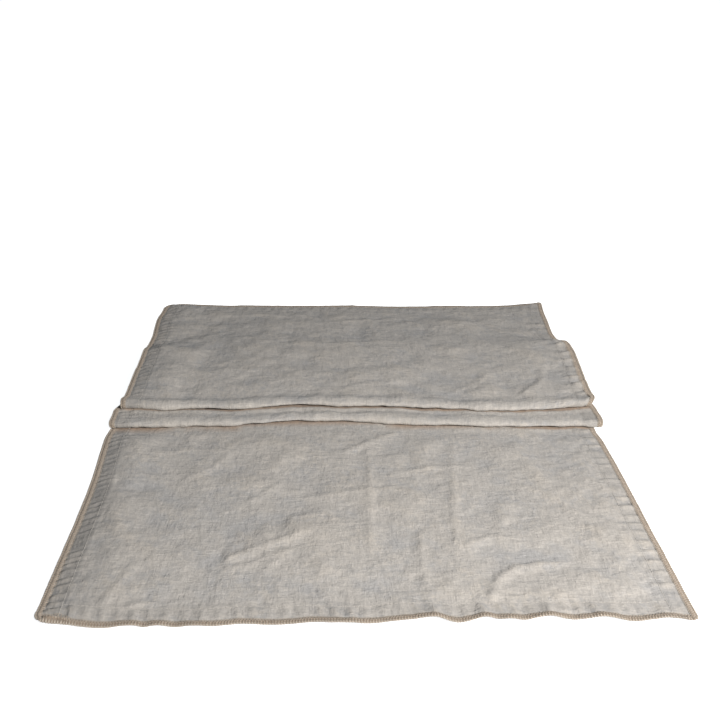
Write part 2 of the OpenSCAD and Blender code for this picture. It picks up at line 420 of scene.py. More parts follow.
def ridge(x, y, points, height, width):
    """A crease through some points, sharp along its top and soft at its ends."""
    nearest, place = np.full(np.shape(x), 1e9), np.zeros(np.shape(x))
    for i, (start, end) in enumerate(zip(points, points[1:])):
        distance, along = to_line(x, y, start, end)
        closer = distance < nearest
        nearest = np.where(closer, distance, nearest)
        place = np.where(closer, (i + np.clip(along, 0, 1)) / (len(points) - 1), place)
    wobble = 1 + 0.6 * noise(x / 9, y / 9, 5)
    profile = np.exp(-(np.sqrt(nearest ** 2 + 0.8) - 0.9) / (0.5 * width * wobble))
    return height * profile * smooth(np.minimum(place, 1 - place) * 5 + 0.15)


def add_small_creases(relief, u, w, seed, count, lengths_range, height, width, lean):
    """Scatters short straight creases over the cloth, each up or down."""
    rng = np.random.default_rng(seed)
    for _ in range(count):
        cu, cw = rng.uniform(-HALF_W, HALF_W), rng.uniform(0, CLOTH_L)
        angle = math.radians(rng.normal(lean, 38))
        half = rng.uniform(*lengths_range) / 2
        rise = rng.uniform(0.35, 1) * height * rng.choice((-0.75, 1))
        wide = width * rng.uniform(0.7, 1.5)
        du, dw = half * math.cos(angle), -half * math.sin(angle)
        bend = rng.uniform(-0.2, 0.2) * half
        reach = half + 3 * wide
        i = slice(*np.searchsorted(u, (cu - reach, cu + reach)))
        j = slice(*np.searchsorted(w, (cw - reach, cw + reach)))
        if i.start == i.stop or j.start == j.stop:
            continue
        uu, ww = u[i, None], w[None, j]
        across = ((ww - cw) * du - (uu - cu) * dw) / half
        along = ((uu - cu) * du + (ww - cw) * dw) / half ** 2
        across = across - bend * (1 - along ** 2)
        fade = smooth((1 - abs(along)) * 2.5)
        relief[i, j] += rise * np.exp(-(np.sqrt(across ** 2 + 0.5) - 0.7) / (0.5 * wide)) * fade


# Sets of short straight creases: each one's seed, how many there are, how long they are, and
# their height, width and lean
SCATTERED = ((101, 800, (12, 44), 0.5, 3.2, 35), (102, 300, (16, 50), 0.4, 3.2, -12),
             (103, 240, (20, 60), 0.45, 3.6, 86))
# Each set of crinkles: its slant, its seed, how far apart and how long they are, and their height
CRINKLES = ((38, 31, 17, 44, 1.5), (-12, 32, 16, 36, 0.8), (74, 33, 16, 42, 0.9),
            (40, 34, 8, 22, 0.6), (-34, 35, 7, 15, 0.3))
# Each set of flat facets, in the same terms
FACETS = ((36, 201, 31, 66, 1.35), (-18, 202, 30, 52, 1.0), (84, 203, 24, 58, 0.95),
          (40, 204, 13, 30, 0.5), (-36, 205, 12, 22, 0.3), (80, 206, 9, 20, 0.22))


def drawn_aside(u, w, at_u, at_w, size, length, seed):
    """Places moved unevenly, each by up to about half of size."""
    return (at_u + size * noise(u / length, w / length, seed),
            at_w + size * noise(u / length, w / length, seed + 1))


def crinkles(u, w):
    """The washed linen's overall unevenness."""
    total = 0.8 * noise(u / 58, w / 46, 21)
    at = drawn_aside(u, w, u, w, 5, 26, 11)
    for degrees, seed, fine, long, height in CRINKLES:
        a, b = turned(*at, degrees)
        patch = smooth(0.5 + 1.6 * noise(u / 60, w / 60, seed + 50))
        total = total + height * (0.4 + patch) * (0.2 - abs(noise(a / long, b / fine, seed)))
    at = drawn_aside(u, w, *at, 7, 33, 13)
    for degrees, seed, fine, long, height in FACETS:
        a, b = turned(*at, degrees)
        patch = smooth(0.5 + 1.3 * noise(u / 48, w / 48, seed + 50))
        total = total + height * (0.45 + 0.9 * patch) * facets(a / long, b / fine, seed)
    return total


def pucker(s, d, seed, pitch, slant):
    """The small gathers across a hem: s runs along the edge, and d in from it."""
    line = s + slant * (d - 12) + 0.45 * pitch * noise(s / (1.6 * pitch), 0.5, seed)
    line = line + 1.2 * noise(s / 6, d / 9, seed + 1)
    gather = np.cos(TAU * line / pitch) + 0.3 * np.cos(2 * TAU * line / pitch + 1)
    strength = 0.7 + 1.1 * noise(s / 21, 0.5, seed + 2)
    reach = curve(d, ((0, 0.1), (4.6, 0.14), (6.2, 0.4), (9.5, 1), (14.5, 1), (17.4, 0.6),
                      (19, 0.25), (20.5, 0.35), (23, 0.28), (28, 0.05), (32, 0)))
    return 0.85 * gather * strength * reach


def hem_relief(s, d, seed, pitch, slant, size, trough):
    """A hem's puckers, the trough along its stitches and the groove beside its border."""
    return (size * pucker(s, d, seed, pitch, slant) - trough * bump(d - STITCH_IN, 1.3)
            - 0.45 * bump(d - 6.2, 0.9) + 0.15 * bump(d - 3, 2.4))


def showing(w, ends):
    """How free the cloth is to crinkle: 1 where it shows, and little inside the pleats."""
    inside = 0
    for lip_start, out, fade in ((ends[1], ends[5] - VISIBLE_STRIP + 6, 10),
                                 (ends[5], FRONT_START + 8, 14)):
        here = smooth((w - lip_start - 14) / 10) * smooth((out - w) / fade)
        inside = np.maximum(inside, here)
    return 1 - 0.9 * inside


# The end hems' puckers: which end, their seed and their size
END_PUCKERS = ((0, 81, 1.1), (1, 91, 1.4))
# The side hems' puckers: their side, seed, spacing, slant and size, and their stitches' trough
SIDE_PUCKERS = ((-1, 61, 9.2, 0.12, 1.5, 0.14), (1, 71, 13.5, -0.1, 1.15, 0.3))
# How high the cloth swells beside each side hem, and how near the ends it still does
SIDE_SWELLS = ((-1, 4.0, 10), (1, 1.8, -4))


def add_hem_relief(relief, u, w, ends, free, lips, from_side):
    """Adds all four hems' puckers."""
    for side, seed, pitch, slant, size, trough in SIDE_PUCKERS:
        # The left hem gathers more towards the front. On the back part the right hem's puckers lie
        # further apart, and most of them are higher.
        if side < 0:
            along, share = w, np.where(w > ends[8], mix(0.5, 1.1, smooth((w - 1040) / 70)), 1)
        else:
            along = np.where(w < ends[1], ends[1] + 0.7 * (w - ends[1]), w)
            share = 1 + 0.9 * smooth((w - 135) / 30) * (w < ends[1])
        hem = hem_relief(along, HALF_W - side * u, seed, pitch, slant, size * share, trough)
        relief += hem * mix(0.25, 1, free) * (1 - 0.55 * lips)
    for end, seed, size in END_PUCKERS:
        hem = hem_relief(u, CLOTH_L - w if end else w, seed, 12.5, 0.2, size, 0.16)
        relief += hem * smooth((from_side - 16) / 8)


def relief_of(u, w, ends, flat_x, flat_y):
    """How far the cloth's surface stands from its smooth path: its relief, and its lift."""
    uu, ww = np.meshgrid(u, w, indexing="ij")
    free = showing(ww, ends)
    total = crinkles(uu, ww)
    for creases in SCATTERED:
        add_small_creases(total, u, w, *creases)
    for creases, part in ((FRONT_CREASES, ww > ends[8]), (BACK_CREASES, ww < ends[1])):
        for height, width, *points in creases:
            total += np.where(part, ridge(flat_x, flat_y, points, 2.2 * height, width), 0)
    total *= np.where(ww < ends[1], 1.1, 1.0)
    from_side, from_end = HALF_W - abs(uu), np.minimum(ww, CLOTH_L - ww)
    calm = smooth((np.minimum(from_side, from_end) - 14) / 14)
    lips = np.maximum(*(bump(ww - (ends[k] + ends[k + 1]) / 2, 13) for k in (1, 5)))
    total = total * free * mix(0.35, 1, calm) * (1 - 0.5 * lips)
    # The cloth swells ahead of each pleat's front edge
    edge_1, edge_2 = fold_edges(uu)
    for edge, part in ((edge_1, (ww > ends[4]) & (ww < ends[5])), (edge_2, ww > ends[8])):
        ahead = edge - flat_y
        swell = 0.75 * bump(ahead - 2.4, 2.6) - 0.3 * bump(ahead - 8, 3.5)
        total += np.where(part, swell * (0.7 + 0.8 * noise(uu / 23, 0.0, 47)), 0)
    add_hem_relief(total, uu, ww, ends, free, lips, from_side)
    lift = (CLOTH_T + GAP) * on_end_hem(from_end) * (1 - on_hem(uu))
    # Between its hems the crumpled cloth stands a little off the table
    on_table = np.maximum(smooth((ww - ends[8] - 150) / 30), smooth((100 - ww) / 30))
    lift = lift + 0.85 * calm * on_table
    clear_of_lips = np.where(ww < ends[1], smooth((ends[1] - 6 - ww) / 24),
                             smooth((edge_2 - 3 - flat_y) / 24) * (ww > ends[8]))
    for side, rise, reach in SIDE_SWELLS:
        d = HALF_W - side * uu
        swell = smooth(d / 24) * smooth((80 - d) / 52)
        lift = lift + rise * swell * smooth((from_end + reach) / 24) * clear_of_lips
    return total, lift


# --- The cloth ---

# The height over which the cloth settles softly on what lies below it
SETTLE = 0.25


class Cloth:
    """The whole cloth as a grid of points and normals on the middle of its thickness."""

    def __init__(self):
        sample = np.linspace(-HALF_W, HALF_W, 101)
        means = [lengths(part)[:, -1].mean() for part in stretches(sample)]
        self.ends = np.hstack([[0], np.cumsum(means)]) * CLOTH_L / sum(means)
        self.u, self.w, self.keep = grid_lines(self.ends)
        self.uu, self.ww = self.u[:, None], self.w[None, :]
        flat_x, flat_y, flat_z = self._base()
        x, y, z = shift_outline(self.uu, self.ww, flat_x, flat_y, flat_z)
        normal = self._normals(x, y, z)
        self.relief, lift = relief_of(self.u, self.w, self.ends, flat_x, flat_y)
        self.tucked = self._tucked(flat_y)
        low = self._room_below(y)
        rise = self.relief + lift
        x, y, z = (p + rise * normal[..., k] for k, p in enumerate((x, y, z)))
        z = self._raise_corners(z)
        z = low + np.logaddexp(0, (z - low) / SETTLE) * SETTLE
        self.points = np.stack([x, y, z], axis=-1)
        self.normals = self._normals(x, y, z)

    def _base(self):
        """The smooth path: its points at every row of every column."""
        y, z = np.zeros((2, len(self.u), len(self.w)))
        for part, start, end in zip(stretches(self.u), self.ends, self.ends[1:]):
            rows = np.flatnonzero((self.w >= start - 1e-6) & (self.w <= end + 1e-6))
            share = (self.w[rows] - start) / (end - start)
            for i, along in enumerate(lengths(part)):
                y[i, rows] = np.interp(share * along[-1], along, part[0][i])
                z[i, rows] = np.interp(share * along[-1], along, part[1][i])
        return self.uu + 0 * y, y, z

    def _normals(self, x, y, z):
        points = np.stack([x, y, z], axis=-1)
        across, along = np.gradient(points, axis=0), np.gradient(points, axis=1)
        normal = np.cross(along, across)
        return normal / np.linalg.norm(normal, axis=-1, keepdims=True)

    def _tucked(self, flat_y):
        """How deep each place lies in a pleat, from 0, in the open, to 1."""
        w, ends = self.ww, self.ends
        closed_1, closed_2 = (smooth((edge + 1.0 - flat_y) / -2.5 + 1)
                              for edge in fold_edges(self.uu))
        lip_1, lip_2 = (smooth((w - mix(ends[k], ends[k + 1], 0.62)) / 4) for k in (1, 5))
        return np.select([w < ends[2], w < ends[4], w < ends[5], w < ends[6], w < ends[8]],
                         [lip_1, 1.0, closed_1, lip_2, 1.0], closed_2)

    def _room_below(self, y):
        """The lowest the middle of the cloth may go, on the table or on the pleats."""
        end_hems = on_end_hem(np.minimum(self.ww, CLOTH_L - self.ww))
        under = (CLOTH_T + GAP) * np.maximum(on_hem(self.uu), end_hems) + FACE + 0.02
        pleat_top = level(FOLD_HEIGHTS["b"], self.uu) + CLOTH_T + 0.3
        on_pleats = (self.ww < self.ends[1]) & (y < curve(self.uu, UPPER_TURN) - 4)
        return np.where(on_pleats, pleat_top, under)

    def _raise_corners(self, z):
        for side, at_front, height, away, width in RAISED_CORNERS:
            from_end = CLOTH_L - self.ww if at_front else self.ww
            z = z + height * bump(np.hypot(HALF_W - side * self.uu, from_end) - away, width)
        return z

    def _cell(self, u, w):
        """The grid's cells that hold some places, and how far across each they lie."""
        i = np.clip(np.searchsorted(self.u, u, side="right") - 1, 0, len(self.u) - 2)
        j = np.clip(np.searchsorted(self.w, w, side="right") - 1, 0, len(self.w) - 2)
        a = (u - self.u[i]) / (self.u[i + 1] - self.u[i])
        b = (w - self.w[j]) / (self.w[j + 1] - self.w[j])
        return i, j, a[..., None], b[..., None]

    def _between(self, values, cell):
        i, j, a, b = cell
        return mix(mix(values[i, j], values[i + 1, j], a),
                   mix(values[i, j + 1], values[i + 1, j + 1], a), b)

    def place(self, u, w, n):
        """The points at cloth coordinates u and w and height n, and the normals there."""
        u, w, n = np.broadcast_arrays(np.asarray(u, float), np.asarray(w, float), n)
        cell = self._cell(u, w)
        normal = self._between(self.normals, cell)
        normal = normal / np.linalg.norm(normal, axis=-1, keepdims=True)
        return self._between(self.points, cell) + n[..., None] * normal, normal

    def value_at(self, values, u, w):
        """The values of a grid of numbers at cloth coordinates."""
        return self._between(values[..., None], self._cell(u, w))[..., 0]


cloth = Cloth()


# --- Making meshes ---

def add_object(name, data):
    made = bpy.data.objects.new(name, data)
    bpy.context.scene.collection.objects.link(made)
    return made


def add_piece(name, points, faces, material, attributes):
    """A smooth-shaded mesh object from points in millimetres, with its named attributes."""
    mesh = bpy.data.meshes.new(name)
    mesh.from_pydata((points * MM).tolist(), [], faces)
    for key, values in attributes.items():
        flat = values.ndim == 1
        layer = mesh.attributes.new(key, "FLOAT" if flat else "FLOAT_VECTOR", "POINT")
        layer.data.foreach_set("value" if flat else "vector", values.astype(np.float32).ravel())
    mesh.shade_smooth()
    mesh.materials.append(material)
    return add_object(name, mesh)


# Rows nearer each other than this go round the lips and turns, or cross a hem
CLOSE_ROWS = 1.55
# A thread's sides, and how much it is pressed flat against the cloth
THREAD_SIDES = 5
THREAD_FLAT = 0.8


class Layer:
    """Patches of grid on the cloth, joined along their edges into one closed sheet."""

    def __init__(self):
        self.u, self.w, self.n, self.faces, self.count = [], [], [], [], 0

    def patch(self, columns, rows, n, face_up):
        """Adds a patch of grid, and gives its points' numbers by column and row."""
        uu, ww = np.meshgrid(columns, rows, indexing="ij")
        ids = np.arange(uu.size).reshape(uu.shape) + self.count
        self.count += uu.size
        self.u.append(uu.ravel())
        self.w.append(ww.ravel())
        self.n.append(np.broadcast_to(n, uu.shape).ravel())
        corners = (ids[:-1, :-1], ids[:-1, 1:], ids[1:, 1:], ids[1:, :-1])
        quads = np.stack(corners if face_up else corners[::-1], axis=-1).reshape(-1, 4)
        self.faces += quads.tolist()
        return ids

    def join(self, ahead, behind):
        """Joins two rows of points, each with its places, with triangles that face up."""
        (a, at_a), (b, at_b) = ahead, behind
        i = j = 0
        while i < len(a) - 1 or j < len(b) - 1:
            on_a = j == len(b) - 1 or (i < len(a) - 1 and at_a[i + 1] <= at_b[j + 1])
            self.faces.append((int(a[i]), int(a[i + 1] if on_a else b[j + 1]), int(b[j])))
            i, j = i + on_a, j + (not on_a)

    def finish(self, name, material):
        u, w, n = (np.hstack(part) for part in (self.u, self.w, self.n))
        points = cloth.place(u, w, n)[0]
        attributes = {"cloth": np.stack([u, w, n], axis=-1),
                      "relief": cloth.value_at(cloth.relief, u, w),
                      "tucked": cloth.value_at(cloth.tucked, u, w)}
        return add_piece(name, points, self.faces, material, attributes)


def side_strips(columns):
    """The columns of the left strip, the middle and the right strip."""
    limit = HALF_W - EDGE_ZONE
    return (columns[columns < -limit + 0.01], columns[abs(columns) <= limit + 0.01][1:-1],
            columns[columns > limit - 0.01])


def every_other(values, kept=False):
    """Every second value, with both ends and any others that are kept."""
    picked = (np.arange(len(values)) % 2 == 0) | kept
    picked[-1] = True
    return values[picked]


def make_panel(material):
    """The linen panel: fine side strips and a coarser middle, on both of its faces."""
    edge = HALF_W - WRAP_T
    columns, rows = np.clip(cloth.u, -edge, edge), np.clip(cloth.w, WRAP_T, CLOTH_L - WRAP_T)
    middle_rows = rows[cloth.keep]
    # The lower face has every other row, and all of the close ones
    close = np.diff(middle_rows, append=CLOTH_L + 9) < CLOSE_ROWS
    low_rows = every_other(middle_rows, close)
    layer = Layer()
    chains = []
    for face_up, n in ((True, FACE), (False, -FACE)):
        strips = [part if face_up else every_other(part) for part in side_strips(columns)]
        strip_rows, inner_rows = (rows, middle_rows) if face_up else (low_rows, low_rows)
        spans = (strip_rows, inner_rows, strip_rows)
        parts = [layer.patch(part, span, n, face_up) for part, span in zip(strips, spans)]
        for k in (0, 1):
            pair = (parts[k][-1], spans[k]), (parts[k + 1][0], spans[k + 1])
            layer.join(*(pair if face_up else pair[::-1]))
        across = np.hstack(strips)
        chains.append(((parts[0][0], strip_rows), (parts[2][-1], strip_rows),
                       (np.hstack([p[:, 0] for p in parts]), across),
                       (np.hstack([p[:, -1] for p in parts]), across)))
    # The two faces meet along the left, right, back and front edges
    for top, bottom, top_first in zip(*chains, (False, True, True, False)):
        layer.join(*((top, bottom) if top_first else (bottom, top)))
    return layer.finish("linen_panel_cloth", material)


def make_slab(name, columns, rows, top, bottom, material):
    """A closed layer of cloth over some columns and rows, with its faces at given heights."""
    layer = Layer()
    upper = layer.patch(columns, rows, top, True)
    lower = layer.patch(columns, rows, bottom, False)
    layer.join((lower[0], rows), (upper[0], rows))
    layer.join((upper[-1], rows), (lower[-1], rows))
    layer.join((upper[:, 0], columns), (lower[:, 0], columns))
    layer.join((lower[:, -1], columns), (upper[:, -1], columns))
    return layer.finish(name, material)


def within(values, low, high):
    """The values between two limits, and the limits themselves."""
    inside = values[(values > low + 0.3) & (values < high - 0.3)]
    return np.hstack([[low], inside, [high]])


def tube(name, u, w, n, radius, material):
    """A thread laid along cloth coordinates."""
    centre, up = cloth.place(u, w, n)
    forward = np.gradient(centre, axis=0)
    forward /= np.linalg.norm(forward, axis=1, keepdims=True)
    across = np.cross(forward, up)
    across /= np.maximum(np.linalg.norm(across, axis=1, keepdims=True), 1e-9)
    up = np.cross(across, forward)
    angle = np.arange(THREAD_SIDES) * TAU / THREAD_SIDES
    ring = (across[:, None] * np.cos(angle)[None, :, None]
            + THREAD_FLAT * up[:, None] * np.sin(angle)[None, :, None])
    points = (centre[:, None] + radius[:, None, None] * ring).reshape(-1, 3)
    count = len(centre)
    ids = np.arange(len(points)).reshape(count, THREAD_SIDES)
    following = np.roll(ids, -1, axis=1)
    quads = np.stack([ids[:-1], ids[1:], following[1:], following[:-1]], axis=-1).reshape(-1, 4)
    faces = quads.tolist() + [ids[0].tolist(), ids[-1][::-1].tolist()]
    run = np.hstack([[0], np.cumsum(np.linalg.norm(np.diff(centre, axis=0), axis=1))])
    strand = np.stack([np.repeat(run, THREAD_SIDES), np.tile(angle / TAU, count),
                       np.zeros(len(points))], axis=-1)
    return add_piece(name, points, faces, material, {"strand": strand})


# --- Threads ---

STITCH_PITCH = 3.3
OVERLOCK_PITCH = 2.2
# How thick each thread is, as a radius
TOP_R, BOBBIN_R, UPPER_R, LOWER_R, NEEDLE_R = 0.25, 0.2, 0.37, 0.36, 0.2
# The loopers' way across the border, as shares of half a stitch along the edge, distance in
# from the edge, and height. The lower thread comes round the edge and meets the upper one.
UPPER_WAY = ((0, 5.5, 0.15), (0.1, 5.1, 0.4), (0.35, 4.0, 0.5), (0.7, 2.9, 0.5), (1, 2.2, 0.44))
LOWER_WAY = ((0, 5.3, -0.45), (0.1, 4.8, -0.62), (0.3, 3.1, -0.66), (0.48, 1.4, -0.64),
             (0.6, 0.45, -0.58), (0.7, 0.15, -0.25), (0.78, 0.3, 0.2), (0.87, 1.0, 0.42),
             (1, 1.9, 0.46))


def on_edge(edge, s, d):
    """Cloth coordinates of a place s along an edge and d in from it."""
    if edge in ("left", "right"):
        return (-1 if edge == "left" else 1) * (HALF_W - d), s
    return s, d if edge == "back" else CLOTH_L - d


def run_of(edge, inset):
    """Where a thread along an edge starts and ends, short of the cloth's other edges."""
    if edge in ("left", "right"):
        return inset, CLOTH_L - inset
    return inset - HALF_W, HALF_W - inset


def border_width(edge, s):
    """The border's width, as a share of its usual one. In a few places it spreads."""
    if edge == "front":
        return 1 + 0.7 * smooth((30 - HALF_W - s) / 12)
    if edge == "left":
        return 1 + 0.22 * smooth((s - 780) / 40) * smooth((1190 - s) / 40)
    if edge == "right":
        return 1 + 0.4 * smooth((s - 130) / 30) * smooth((296 - s) / 20)
    return 1 + 0 * s


def stitch_row(edge, name, inset, d, pitch, radius, material, below=False, beside_border=False):
    """A straight row of stitches, on the cloth's face or below its hem."""
    start, end = run_of(edge, inset)
    count = round((end - start) / pitch)
    phase = np.linspace(0, count, 8 * count + 1)
    s = mix(start, end, phase / count)
    # Each stitch lies on the cloth, and sinks into it at its ends
    over = smooth(2.4 * abs(np.sin(np.pi * phase)))
    tight = 0.85 + 0.3 * noise(s / 11, 0.5, 7)
    n = HEM_BOTTOM - mix(-0.3, -0.06, over) if below else FACE + mix(-0.3, 0.16 * tight, over)
    if beside_border:
        d = d * border_width(edge, s)
    u, w = on_edge(edge, s, d + 0.12 * noise(s / 17, 0.5, 9))
    return tube(edge + name, u, w, n, radius * mix(0.8, 1, over), material)


def looper(edge, name, inset, way, radius, material):
    """An overlock looper: one thread that runs to and fro between a border's two sides."""
    start, end = run_of(edge, inset)
    count = round((end - start) / OVERLOCK_PITCH)
    share, d, n = np.array(way).T
    share = np.hstack([share / 2, 1 - share[-2:0:-1] / 2])
    d, n = (np.hstack([k, k[-2:0:-1]]) for k in (d, n))
    s = mix(start, end, ((np.arange(count)[:, None] + share) / count).ravel())
    swell = 1 + 0.14 * noise(s / 2.1, 0.5, 13)
    wander = 0.25 * noise(s / 3.7, 0.5, 17)
    d = np.tile(d, count) * border_width(edge, s) + wander * (np.tile(d, count) > 1)
    u, w = on_edge(edge, s, d)
    return tube(edge + name, u, w, np.tile(n, count), radius * swell, material)


# --- Materials ---

class Nodes:
    """Builds a tree of nodes: a call gives a node its inputs in order, values or sockets."""

    def __init__(self, owner):
        owner.use_nodes = True
        self.tree = owner.node_tree

    def feed(self, socket, value):
        if isinstance(value, bpy.types.NodeSocket):
            self.tree.links.new(value, socket)
        elif value is not None:
            socket.default_value = value

    def node(self, kind, *values, **settings):
        made = self.tree.nodes.new("ShaderNode" + kind)
        for key, value in settings.items():
            setattr(made, key, value)
        for socket, value in zip(made.inputs, values):
            self.feed(socket, value)
        return made

    def math(self, operation, *values):
        return self.node("Math", *values, operation=operation).outputs[0]

    def plus(self, first, *others):
        for other in others:
            first = self.math("ADD", first, other)
        return first

    def times(self, a, b):
        return self.math("MULTIPLY", a, b)

    def add_to(self, base, value, share):
        return self.math("MULTIPLY_ADD", value, share, base)

    def parts(self, vector):
        return self.node("SeparateXYZ", vector).outputs

    def attribute(self, name):
        """A named attribute of the mesh: its colour, vector and value."""
        return self.node("Attribute", attribute_name=name).outputs

    def noise(self, vector, scale, turn=0.0, detail=3, rough=0.6):
        turned = self.node("Mapping", vector, None, (0, 0, math.radians(turn)), scale).outputs[0]
        return self.node("TexNoise", turned, None, 1, detail, rough).outputs["Fac"]

    def ramp(self, value, low, high, to_low=0.0, to_high=1.0):
        made = self.node("MapRange", value, low, high, to_low, to_high)
        made.interpolation_type = "SMOOTHSTEP"
        return made.outputs[0]

    def mottle(self, value, to_low=-0.5, to_high=0.5):
        """A noise's usual range, spread from one value to another."""
        return self.ramp(value, 0.3, 0.7, to_low, to_high)

    def tint(self, factor, a, b):
        made = self.node("Mix", factor, data_type="RGBA")
        for socket, value in zip(made.inputs[6:8], (a, b)):
            self.feed(socket, (*value, 1) if isinstance(value, tuple) else value)
        return made.outputs[2]

    def bumped(self, height, distance, strength=1.0, after=None):
        made = self.node("Bump", strength, distance)
        self.feed(made.inputs["Height"], height)
        self.feed(made.inputs["Normal"], after)
        return made.outputs[0]


class Surface(Nodes):
    """A material, with the nodes that feed its shader."""

    def __init__(self, name, colour, roughness, sheen):
        self.material = bpy.data.materials.new(name)
        super().__init__(self.material)
        self.shader = self.tree.nodes["Principled BSDF"]
        self.set("Base Color", (*colour, 1))
        self.set("Roughness", roughness)
        self.set("Specular IOR Level", 0.22)
        self.set("Sheen Weight", sheen)
        self.set("Sheen Roughness", 0.6)

    def set(self, socket, value):
        self.feed(self.shader.inputs[socket], value)


# The runs of thin creases: their scale along and across, their lean, and how rare they are
THIN_CREASES = (((0.022, 0.1, 0), 38, 0.46), ((0.09, 0.024, 0), -14, 0.48),
                ((0.03, 0.12, 0), -30, 0.5))
THREAD_SPACING = 1.07843
# Painted shade for the cloth under the border's loops and inside the pleats
BORDER_PAINTED_SHADE = (0.27, 0.215, 0.165)
PLEAT_PAINTED_SHADE = (0.36, 0.27, 0.2)


def crease_lines(k, place):
    """Thin sharp creases, in short runs that lean three ways."""
    lines = []
    for scale, lean, gate in THIN_CREASES:
        wave = k.noise(place, scale, lean, 2, 0.5)
        thin = k.ramp(k.math("ABSOLUTE", k.math("SUBTRACT", wave, 0.5)), 0, 0.03, 1.0, 0.0)
        here = k.ramp(k.noise(place, (0.05, 0.05, 0), lean, 2, 0.5), gate, gate + 0.1)
        lines.append(k.times(thin, here))
    return k.plus(*lines)


def lit_share(k, x, y, side, end):
    """How much painted shade darkens the hems, and the left edge, front left and back part, as
    shares of the rest.
    """
    # Painted shade: the hems are darker, as their two layers let less light through than the
    # single cloth
    inner = HALF_W - HEM_W
    inner_end = CLOTH_L / 2 - HEM_W
    doubled = k.math("MAXIMUM", k.ramp(side, inner - 1.5, inner + 0.5),
                     k.ramp(end, inner_end - 1.5, inner_end + 0.5, 0, 0.6))
    # Painted shade: the cloth is a little darker along its left edge, at its front left and behind
    # the pleats, where less light falls
    left = k.ramp(x, -HALF_W, 50 - HALF_W, 0.93, 1.0)
    front_left = k.times(k.ramp(x, -HALF_W, 110 - HALF_W, 1.0, 0.0), k.ramp(y, 930, 1090))
    left = k.add_to(left, front_left, -0.15)
    back = k.ramp(y, 245, 285, 0.965, 1.0)
    return k.ramp(doubled, 0.0, 1.0, 1.0, 0.885), k.times(left, back)


def linen(name, base):
    """Washed linen: a plain weave with slubs and soft crinkles, painted highlight on its warm
    ridges, painted shade in its cool hollows, and painted shade at its hems, border and pleats.
    """
    k = Surface(name, base, 0.9, 0.12)
    place = k.attribute("cloth")["Vector"]
    relief = k.attribute("relief")["Fac"]
    x, y = k.parts(place)[:2]

    def shade(share, warm):
        return tuple(c * share * (1 + warm * s) for c, s in zip(base, (1, 0.1, -1.3)))

    clouds = k.noise(place, (0.032, 0.036, 0.03), 0, 3, 0.55)
    drift = k.noise(place, (0.11, 0.08, 0.03), 25)
    blotch = k.noise(place, (0.21, 0.19, 0.03), 15, 3, 0.65)
    weft = k.noise(place, (0.13, 0.95, 0))
    warp = k.noise(place, (0.95, 0.12, 0))
    fleck = k.noise(place, (0.6, 0.6, 0), 0, 2, 0.65)
    # The higher the relief, the lighter and warmer the colour: painted highlight on the ridges and
    # painted shade in the hollows, mixed with random drift and blotches in the cloth's tone
    high = k.add_to(k.times(relief, 0.6), k.math("SUBTRACT", drift, 0.5), 3.0)
    high = k.add_to(high, k.math("SUBTRACT", blotch, 0.5), 3.5)
    colour = k.tint(k.ramp(high, -1.3, 1.4), shade(0.93, -0.03), shade(1.05, 0.03))
    colour = k.tint(k.ramp(clouds, 0.35, 0.68), colour, shade(1.02, 0.01))
    streaks = k.plus(*(k.mottle(n) for n in (weft, warp, fleck, blotch)))
    side = k.math("ABSOLUTE", x)
    end = k.math("ABSOLUTE", k.math("SUBTRACT", y, CLOTH_L / 2))
    value = k.add_to(1.0, streaks, 0.12)
    for share in lit_share(k, x, y, side, end):
        value = k.times(value, share)
    dyed = k.node("VectorMath", colour, operation="SCALE")
    k.feed(dyed.inputs["Scale"], value)
    # Painted shade: the cloth is darker and browner under the border's loops and inside the
    # pleats, where little light gets down
    border = k.math("MAXIMUM", k.ramp(side, HALF_W - BORDER_W, HALF_W - BORDER_W + 0.8),
                    k.ramp(end, CLOTH_L / 2 - BORDER_W, CLOTH_L / 2 - BORDER_W + 0.8))
    colour = k.tint(border, dyed.outputs[0], BORDER_PAINTED_SHADE)
    k.set("Base Color", k.tint(k.attribute("tucked")["Fac"], colour, PLEAT_PAINTED_SHADE))
    k.set("Roughness", k.mottle(fleck, 0.84, 0.96))

    across, along = (k.math("SINE", k.times(axis, TAU / THREAD_SPACING)) for axis in (x, y))
    weave = k.add_to(k.times(across, along), k.plus(weft, warp, fleck), 2.8)
    creased = k.bumped(crease_lines(k, place), 0.0001)
    soft_folds = k.plus(k.noise(place, (0.06, 0.2, 0), 38), k.noise(place, (0.2, 0.07, 0), -15))
    creased = k.bumped(soft_folds, 0.0011, 1.0, creased)
    k.set("Normal", k.bumped(weave, 0.00007, 0.9, creased))
    return k.material


def thread_material(name, base, dark, twist):
    """Spun thread: its plies wind round it, and its colour varies along it."""
    k = Surface(name, base, 0.8, 0.2)
    strand = k.attribute("strand")["Vector"]
    along, around = k.parts(strand)[:2]
    ply = k.math("SINE", k.times(k.plus(k.times(along, twist), around), 2 * TAU))
    run = k.noise(strand, (0.11, 0, 0))
    fuzz = k.noise(strand, (2.4, 3, 0), 0, 2)
    shade = k.plus(k.times(ply, 0.12), k.mottle(run, 0.35, 0.85), k.mottle(fuzz, -0.12, 0.12))
    # Painted shade: a thread's sides are darker than its top, where it sinks into its neighbours
    # and little light gets in
    top = k.math("SINE", k.times(around, TAU))
    shade = k.times(shade, k.ramp(top, 0.1, 0.9, 0.25, 1.0))
    k.set("Base Color", k.tint(shade, dark, base))
    k.set("Roughness", k.mottle(fuzz, 0.74, 0.9))
    k.set("Normal", k.bumped(k.plus(ply, fuzz), 0.00006))
    return k.material


# --- The pieces ---

